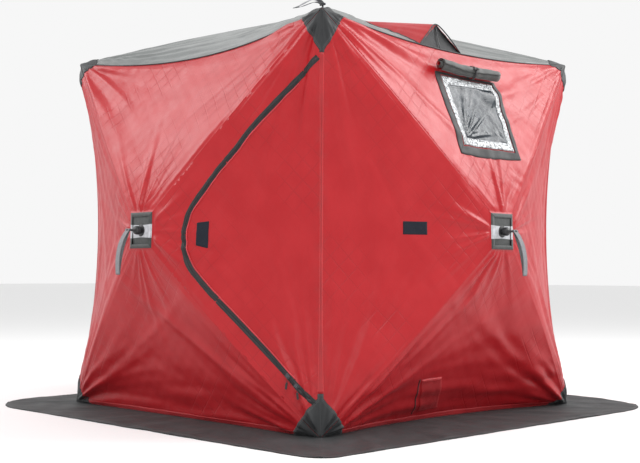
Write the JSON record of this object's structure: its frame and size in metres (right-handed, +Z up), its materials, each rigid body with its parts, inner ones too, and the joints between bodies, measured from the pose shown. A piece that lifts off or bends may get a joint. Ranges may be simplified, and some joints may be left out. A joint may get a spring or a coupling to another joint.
{
  "type": "ice fishing shelter",
  "caption": "Square pop-up fabric shelter with sprung hub-and-pole walls and roof, a zipped door flap, a clear window, a roof vent hood and a ground skirt.",
  "frame": {"origin": "centre of the shelter's footprint, on the ground under the skirt", "axes": "+Z up; the zipped door wall faces -Y and the window wall faces +X"},
  "size_m": [2.554, 2.554, 2.1087],
  "materials": {
    "red_fabric": "satin",
    "grey_fabric": "satin",
    "charcoal_fabric": "matte",
    "webbing": "matte",
    "clear_pane": "gloss",
    "black_plastic": "satin",
    "fibreglass": "satin",
    "zipper_metal": "satin"
  },
  "bodies": {
    "shell_seams": {"corner_seam_front_right": "charcoal_fabric", "corner_seam_back_right": "charcoal_fabric", "corner_seam_back_left": "charcoal_fabric", "corner_seam_front_left": "charcoal_fabric", "ground_skirt": "charcoal_fabric"},
    "front_hub": {"front_hub": "black_plastic"},
    "front_panel_top": {"front_panel_top": "red_fabric"},
    "front_panel_bottom": {"front_panel_bottom": "red_fabric"},
    "front_panel_left": {"front_panel_left": "red_fabric"},
    "front_panel_right": {"front_panel_right": "red_fabric"},
    "front_pole_top_right": {"front_pole_top_right": "fibreglass"},
    "front_pole_top_left": {"front_pole_top_left": "fibreglass"},
    "front_pole_bottom_left": {"front_pole_bottom_left": "fibreglass"},
    "front_pole_bottom_right": {"front_pole_bottom_right": "fibreglass"},
    "front_pull_strap": {"front_pull_strap": "webbing"},
    "right_hub": {"right_hub": "black_plastic"},
    "right_panel_top": {"right_panel_top": "red_fabric", "window_pane": "clear_pane", "window_cover_roll": "charcoal_fabric"},
    "right_panel_bottom": {"right_panel_bottom": "red_fabric"},
    "right_panel_left": {"right_panel_left": "red_fabric"},
    "right_panel_right": {"right_panel_right": "red_fabric"},
    "right_pole_top_right": {"right_pole_top_right": "fibreglass"},
    "right_pole_top_left": {"right_pole_top_left": "fibreglass"},
    "right_pole_bottom_left": {"right_pole_bottom_left": "fibreglass"},
    "right_pole_bottom_right": {"right_pole_bottom_right": "fibreglass"},
    "right_pull_strap": {"right_pull_strap": "webbing"},
    "back_hub": {"back_hub": "black_plastic"},
    "back_panel_top": {"back_panel_top": "red_fabric"},
    "back_panel_bottom": {"back_panel_bottom": "red_fabric"},
    "back_panel_left": {"back_panel_left": "red_fabric"},
    "back_panel_right": {"back_panel_right": "red_fabric"},
    "back_pole_top_right": {"back_pole_top_right": "fibreglass"},
    "back_pole_top_left": {"back_pole_top_left": "fibreglass"},
    "back_pole_bottom_left": {"back_pole_bottom_left": "fibreglass"},
    "back_pole_bottom_right": {"back_pole_bottom_right": "fibreglass"},
    "back_pull_strap": {"back_pull_strap": "webbing"},
    "left_hub": {"left_hub": "black_plastic"},
    "left_panel_top": {"left_panel_top": "red_fabric"},
    "left_panel_bottom": {"left_panel_bottom": "red_fabric"},
    "left_panel_left": {"left_panel_left": "red_fabric"},
    "left_panel_right": {"left_panel_right": "red_fabric"},
    "left_pole_top_right": {"left_pole_top_right": "fibreglass"},
    "left_pole_top_left": {"left_pole_top_left": "fibreglass"},
    "left_pole_bottom_left": {"left_pole_bottom_left": "fibreglass"},
    "left_pole_bottom_right": {"left_pole_bottom_right": "fibreglass"},
    "left_pull_strap": {"left_pull_strap": "webbing"},
    "roof_hub": {"roof_hub": "black_plastic"},
    "roof_panel_back": {"roof_panel_back": "grey_fabric"},
    "roof_panel_front": {"roof_panel_front": "grey_fabric"},
    "roof_panel_left": {"roof_panel_left": "grey_fabric"},
    "roof_panel_right": {"roof_panel_right": "grey_fabric", "roof_vent_hood": "red_fabric"},
    "roof_pole_back_right": {"roof_pole_back_right": "fibreglass"},
    "roof_pole_back_left": {"roof_pole_back_left": "fibreglass"},
    "roof_pole_front_left": {"roof_pole_front_left": "fibreglass"},
    "roof_pole_front_right": {"roof_pole_front_right": "fibreglass"},
    "roof_pull_strap": {"roof_pull_strap": "webbing"},
    "door_flap": {"door_flap": "red_fabric"},
    "door_zipper_slider": {"door_zipper_slider": "zipper_metal"}
  },
  "joints": [
    {"name": "front_hub_pop", "type": "slide", "parent": "shell_seams", "child": "front_hub", "axis": [0, 1, 0], "range_m": [0, 0.5]},
    {"name": "front_panel_top_fold", "type": "hinge", "parent": "shell_seams", "child": "front_panel_top", "pos_m": [0, -0.9, 1.775], "axis": [1, 0, 0], "range_deg": [0, 33.06], "deforming": ["front_panel_top"]},
    {"name": "front_panel_bottom_fold", "type": "hinge", "parent": "shell_seams", "child": "front_panel_bottom", "pos_m": [0, -0.9, 0.008], "axis": [-1, 0, 0], "range_deg": [0, 34.73], "deforming": ["front_panel_bottom"]},
    {"name": "front_panel_left_fold", "type": "hinge", "parent": "shell_seams", "child": "front_panel_left", "pos_m": [-0.9, -0.9, 0.87], "axis": [0, 0, 1], "range_deg": [0, 33.24], "deforming": ["front_panel_left"]},
    {"name": "front_panel_right_fold", "type": "hinge", "parent": "shell_seams", "child": "front_panel_right", "pos_m": [0.9, -0.9, 0.87], "axis": [0, 0, -1], "range_deg": [0, 33.24], "deforming": ["front_panel_right"]},
    {"name": "front_pole_top_right_pivot", "type": "hinge", "parent": "front_hub", "child": "front_pole_top_right", "pos_m": [0.02821, -1.12, 0.89836], "axis": [0.7091, 0, -0.7051], "range_deg": [0, 24.7]},
    {"name": "front_pole_top_left_pivot", "type": "hinge", "parent": "front_hub", "child": "front_pole_top_left", "pos_m": [-0.02821, -1.12, 0.89836], "axis": [0.7091, 0, 0.7051], "range_deg": [0, 24.7]},
    {"name": "front_pole_bottom_left_pivot", "type": "hinge", "parent": "front_hub", "child": "front_pole_bottom_left", "pos_m": [-0.02889, -1.12, 0.84233], "axis": [-0.6917, 0, 0.7222], "range_deg": [0, 25.35]},
    {"name": "front_pole_bottom_right_pivot", "type": "hinge", "parent": "front_hub", "child": "front_pole_bottom_right", "pos_m": [0.02889, -1.12, 0.84233], "axis": [-0.6917, 0, -0.7222], "range_deg": [0, 25.35]},
    {"name": "front_pull_strap_swing", "type": "hinge", "parent": "front_hub", "child": "front_pull_strap", "pos_m": [0, -1.222, 0.87], "axis": [-1, 0, 0], "range_deg": [0, 90]},
    {"name": "right_hub_pop", "type": "slide", "parent": "shell_seams", "child": "right_hub", "axis": [-1, 0, 0], "range_m": [0, 0.5]},
    {"name": "right_panel_top_fold", "type": "hinge", "parent": "shell_seams", "child": "right_panel_top", "pos_m": [0.9, 0, 1.775], "axis": [0, 1, 0], "range_deg": [0, 33.06], "deforming": ["right_panel_top"]},
    {"name": "right_panel_bottom_fold", "type": "hinge", "parent": "shell_seams", "child": "right_panel_bottom", "pos_m": [0.9, 0, 0.008], "axis": [0, -1, 0], "range_deg": [0, 34.73], "deforming": ["right_panel_bottom"]},
    {"name": "right_panel_left_fold", "type": "hinge", "parent": "shell_seams", "child": "right_panel_left", "pos_m": [0.9, -0.9, 0.87], "axis": [0, 0, 1], "range_deg": [0, 33.24], "deforming": ["right_panel_left"]},
    {"name": "right_panel_right_fold", "type": "hinge", "parent": "shell_seams", "child": "right_panel_right", "pos_m": [0.9, 0.9, 0.87], "axis": [0, 0, -1], "range_deg": [0, 33.24], "deforming": ["right_panel_right"]},
    {"name": "right_pole_top_right_pivot", "type": "hinge", "parent": "right_hub", "child": "right_pole_top_right", "pos_m": [1.12, 0.02821, 0.89836], "axis": [0, 0.7091, -0.7051], "range_deg": [0, 24.7]},
    {"name": "right_pole_top_left_pivot", "type": "hinge", "parent": "right_hub", "child": "right_pole_top_left", "pos_m": [1.12, -0.02821, 0.89836], "axis": [0, 0.7091, 0.7051], "range_deg": [0, 24.7]},
    {"name": "right_pole_bottom_left_pivot", "type": "hinge", "parent": "right_hub", "child": "right_pole_bottom_left", "pos_m": [1.12, -0.02889, 0.84233], "axis": [0, -0.6917, 0.7222], "range_deg": [0, 25.35]},
    {"name": "right_pole_bottom_right_pivot", "type": "hinge", "parent": "right_hub", "child": "right_pole_bottom_right", "pos_m": [1.12, 0.02889, 0.84233], "axis": [0, -0.6917, -0.7222], "range_deg": [0, 25.35]},
    {"name": "right_pull_strap_swing", "type": "hinge", "parent": "right_hub", "child": "right_pull_strap", "pos_m": [1.222, 0, 0.87], "axis": [0, -1, 0], "range_deg": [0, 90]},
    {"name": "back_hub_pop", "type": "slide", "parent": "shell_seams", "child": "back_hub", "axis": [0, -1, 0], "range_m": [0, 0.5]},
    {"name": "back_panel_top_fold", "type": "hinge", "parent": "shell_seams", "child": "back_panel_top", "pos_m": [0, 0.9, 1.775], "axis": [-1, 0, 0], "range_deg": [0, 33.06], "deforming": ["back_panel_top"]},
    {"name": "back_panel_bottom_fold", "type": "hinge", "parent": "shell_seams", "child": "back_panel_bottom", "pos_m": [0, 0.9, 0.008], "axis": [1, 0, 0], "range_deg": [0, 34.73], "deforming": ["back_panel_bottom"]},
    {"name": "back_panel_left_fold", "type": "hinge", "parent": "shell_seams", "child": "back_panel_left", "pos_m": [0.9, 0.9, 0.87], "axis": [0, 0, 1], "range_deg": [0, 33.24], "deforming": ["back_panel_left"]},
    {"name": "back_panel_right_fold", "type": "hinge", "parent": "shell_seams", "child": "back_panel_right", "pos_m": [-0.9, 0.9, 0.87], "axis": [0, 0, -1], "range_deg": [0, 33.24], "deforming": ["back_panel_right"]},
    {"name": "back_pole_top_right_pivot", "type": "hinge", "parent": "back_hub", "child": "back_pole_top_right", "pos_m": [-0.02821, 1.12, 0.89836], "axis": [-0.7091, 0, -0.7051], "range_deg": [0, 24.7]},
    {"name": "back_pole_top_left_pivot", "type": "hinge", "parent": "back_hub", "child": "back_pole_top_left", "pos_m": [0.02821, 1.12, 0.89836], "axis": [-0.7091, 0, 0.7051], "range_deg": [0, 24.7]},
    {"name": "back_pole_bottom_left_pivot", "type": "hinge", "parent": "back_hub", "child": "back_pole_bottom_left", "pos_m": [0.02889, 1.12, 0.84233], "axis": [0.6917, 0, 0.7222], "range_deg": [0, 25.35]},
    {"name": "back_pole_bottom_right_pivot", "type": "hinge", "parent": "back_hub", "child": "back_pole_bottom_right", "pos_m": [-0.02889, 1.12, 0.84233], "axis": [0.6917, 0, -0.7222], "range_deg": [0, 25.35]},
    {"name": "back_pull_strap_swing", "type": "hinge", "parent": "back_hub", "child": "back_pull_strap", "pos_m": [0, 1.222, 0.87], "axis": [1, 0, 0], "range_deg": [0, 90]},
    {"name": "left_hub_pop", "type": "slide", "parent": "shell_seams", "child": "left_hub", "axis": [1, 0, 0], "range_m": [0, 0.5]},
    {"name": "left_panel_top_fold", "type": "hinge", "parent": "shell_seams", "child": "left_panel_top", "pos_m": [-0.9, 0, 1.775], "axis": [0, -1, 0], "range_deg": [0, 33.06], "deforming": ["left_panel_top"]},
    {"name": "left_panel_bottom_fold", "type": "hinge", "parent": "shell_seams", "child": "left_panel_bottom", "pos_m": [-0.9, 0, 0.008], "axis": [0, 1, 0], "range_deg": [0, 34.73], "deforming": ["left_panel_bottom"]},
    {"name": "left_panel_left_fold", "type": "hinge", "parent": "shell_seams", "child": "left_panel_left", "pos_m": [-0.9, 0.9, 0.87], "axis": [0, 0, 1], "range_deg": [0, 33.24], "deforming": ["left_panel_left"]},
    {"name": "left_panel_right_fold", "type": "hinge", "parent": "shell_seams", "child": "left_panel_right", "pos_m": [-0.9, -0.9, 0.87], "axis": [0, 0, -1], "range_deg": [0, 33.24], "deforming": ["left_panel_right"]},
    {"name": "left_pole_top_right_pivot", "type": "hinge", "parent": "left_hub", "child": "left_pole_top_right", "pos_m": [-1.12, -0.02821, 0.89836], "axis": [0, -0.7091, -0.7051], "range_deg": [0, 24.7]},
    {"name": "left_pole_top_left_pivot", "type": "hinge", "parent": "left_hub", "child": "left_pole_top_left", "pos_m": [-1.12, 0.02821, 0.89836], "axis": [0, -0.7091, 0.7051], "range_deg": [0, 24.7]},
    {"name": "left_pole_bottom_left_pivot", "type": "hinge", "parent": "left_hub", "child": "left_pole_bottom_left", "pos_m": [-1.12, 0.02889, 0.84233], "axis": [0, 0.6917, 0.7222], "range_deg": [0, 25.35]},
    {"name": "left_pole_bottom_right_pivot", "type": "hinge", "parent": "left_hub", "child": "left_pole_bottom_right", "pos_m": [-1.12, -0.02889, 0.84233], "axis": [0, 0.6917, -0.7222], "range_deg": [0, 25.35]},
    {"name": "left_pull_strap_swing", "type": "hinge", "parent": "left_hub", "child": "left_pull_strap", "pos_m": [-1.222, 0, 0.87], "axis": [0, 1, 0], "range_deg": [0, 90]},
    {"name": "roof_hub_pop", "type": "slide", "parent": "shell_seams", "child": "roof_hub", "axis": [0, 0, -1], "range_m": [0, 0.5]},
    {"name": "roof_panel_back_fold", "type": "hinge", "parent": "shell_seams", "child": "roof_panel_back", "pos_m": [0, 0.9, 1.775], "axis": [1, 0, 0], "range_deg": [0, 33.24], "deforming": ["roof_panel_back"]},
    {"name": "roof_panel_front_fold", "type": "hinge", "parent": "shell_seams", "child": "roof_panel_front", "pos_m": [0, -0.9, 1.775], "axis": [-1, 0, 0], "range_deg": [0, 33.24], "deforming": ["roof_panel_front"]},
    {"name": "roof_panel_left_fold", "type": "hinge", "parent": "shell_seams", "child": "roof_panel_left", "pos_m": [-0.9, 0, 1.775], "axis": [0, 1, 0], "range_deg": [0, 33.24], "deforming": ["roof_panel_left"]},
    {"name": "roof_panel_right_fold", "type": "hinge", "parent": "shell_seams", "child": "roof_panel_right", "pos_m": [0.9, 0, 1.775], "axis": [0, -1, 0], "range_deg": [0, 33.24], "deforming": ["roof_panel_right"]},
    {"name": "roof_pole_back_right_pivot", "type": "hinge", "parent": "roof_hub", "child": "roof_pole_back_right", "pos_m": [0.02828, 0.02828, 1.995], "axis": [0.7071, -0.7071, 0], "range_deg": [0, 24.78]},
    {"name": "roof_pole_back_left_pivot", "type": "hinge", "parent": "roof_hub", "child": "roof_pole_back_left", "pos_m": [-0.02828, 0.02828, 1.995], "axis": [0.7071, 0.7071, 0], "range_deg": [0, 24.78]},
    {"name": "roof_pole_front_left_pivot", "type": "hinge", "parent": "roof_hub", "child": "roof_pole_front_left", "pos_m": [-0.02828, -0.02828, 1.995], "axis": [-0.7071, 0.7071, 0], "range_deg": [0, 24.78]},
    {"name": "roof_pole_front_right_pivot", "type": "hinge", "parent": "roof_hub", "child": "roof_pole_front_right", "pos_m": [0.02828, -0.02828, 1.995], "axis": [-0.7071, -0.7071, 0], "range_deg": [0, 24.78]},
    {"name": "roof_pull_strap_swing", "type": "hinge", "parent": "roof_hub", "child": "roof_pull_strap", "pos_m": [0, 0, 2.097], "axis": [-1, 0, 0], "range_deg": [0, 90]},
    {"name": "door_swing", "type": "hinge", "parent": "front_panel_right", "child": "door_flap", "pos_m": [0.836, -0.8855, 0.9], "axis": [0, 0, 1], "range_deg": [0, 80]},
    {"name": "zipper_slider_run", "type": "slide", "parent": "front_panel_right", "child": "door_zipper_slider", "axis": [-0.6949, -0.2328, 0.6804], "range_m": [0, 0.16]}
  ],
  "couplings": [
    {"joint": "front_panel_top_fold", "follows": "front_hub_pop", "rad_per_m": 1.1532},
    {"joint": "front_panel_bottom_fold", "follows": "front_hub_pop", "rad_per_m": 1.2115},
    {"joint": "front_panel_left_fold", "follows": "front_hub_pop", "rad_per_m": 1.1597},
    {"joint": "front_panel_right_fold", "follows": "front_hub_pop", "rad_per_m": 1.1597},
    {"joint": "front_pole_top_right_pivot", "follows": "front_hub_pop", "rad_per_m": 0.86159},
    {"joint": "front_pole_top_left_pivot", "follows": "front_hub_pop", "rad_per_m": 0.86159},
    {"joint": "front_pole_bottom_left_pivot", "follows": "front_hub_pop", "rad_per_m": 0.88414},
    {"joint": "front_pole_bottom_right_pivot", "follows": "front_hub_pop", "rad_per_m": 0.88414},
    {"joint": "right_panel_top_fold", "follows": "right_hub_pop", "rad_per_m": 1.1532},
    {"joint": "right_panel_bottom_fold", "follows": "right_hub_pop", "rad_per_m": 1.2115},
    {"joint": "right_panel_left_fold", "follows": "right_hub_pop", "rad_per_m": 1.1597},
    {"joint": "right_panel_right_fold", "follows": "right_hub_pop", "rad_per_m": 1.1597},
    {"joint": "right_pole_top_right_pivot", "follows": "right_hub_pop", "rad_per_m": 0.86159},
    {"joint": "right_pole_top_left_pivot", "follows": "right_hub_pop", "rad_per_m": 0.86159},
    {"joint": "right_pole_bottom_left_pivot", "follows": "right_hub_pop", "rad_per_m": 0.88414},
    {"joint": "right_pole_bottom_right_pivot", "follows": "right_hub_pop", "rad_per_m": 0.88414},
    {"joint": "back_panel_top_fold", "follows": "back_hub_pop", "rad_per_m": 1.1532},
    {"joint": "back_panel_bottom_fold", "follows": "back_hub_pop", "rad_per_m": 1.2115},
    {"joint": "back_panel_left_fold", "follows": "back_hub_pop", "rad_per_m": 1.1597},
    {"joint": "back_panel_right_fold", "follows": "back_hub_pop", "rad_per_m": 1.1597},
    {"joint": "back_pole_top_right_pivot", "follows": "back_hub_pop", "rad_per_m": 0.86159},
    {"joint": "back_pole_top_left_pivot", "follows": "back_hub_pop", "rad_per_m": 0.86159},
    {"joint": "back_pole_bottom_left_pivot", "follows": "back_hub_pop", "rad_per_m": 0.88414},
    {"joint": "back_pole_bottom_right_pivot", "follows": "back_hub_pop", "rad_per_m": 0.88414},
    {"joint": "left_panel_top_fold", "follows": "left_hub_pop", "rad_per_m": 1.1532},
    {"joint": "left_panel_bottom_fold", "follows": "left_hub_pop", "rad_per_m": 1.2115},
    {"joint": "left_panel_left_fold", "follows": "left_hub_pop", "rad_per_m": 1.1597},
    {"joint": "left_panel_right_fold", "follows": "left_hub_pop", "rad_per_m": 1.1597},
    {"joint": "left_pole_top_right_pivot", "follows": "left_hub_pop", "rad_per_m": 0.86159},
    {"joint": "left_pole_top_left_pivot", "follows": "left_hub_pop", "rad_per_m": 0.86159},
    {"joint": "left_pole_bottom_left_pivot", "follows": "left_hub_pop", "rad_per_m": 0.88414},
    {"joint": "left_pole_bottom_right_pivot", "follows": "left_hub_pop", "rad_per_m": 0.88414},
    {"joint": "roof_panel_back_fold", "follows": "roof_hub_pop", "rad_per_m": 1.1597},
    {"joint": "roof_panel_front_fold", "follows": "roof_hub_pop", "rad_per_m": 1.1597},
    {"joint": "roof_panel_left_fold", "follows": "roof_hub_pop", "rad_per_m": 1.1597},
    {"joint": "roof_panel_right_fold", "follows": "roof_hub_pop", "rad_per_m": 1.1597},
    {"joint": "roof_pole_back_right_pivot", "follows": "roof_hub_pop", "rad_per_m": 0.86418},
    {"joint": "roof_pole_back_left_pivot", "follows": "roof_hub_pop", "rad_per_m": 0.86418},
    {"joint": "roof_pole_front_left_pivot", "follows": "roof_hub_pop", "rad_per_m": 0.86418},
    {"joint": "roof_pole_front_right_pivot", "follows": "roof_hub_pop", "rad_per_m": 0.86418}
  ]
}
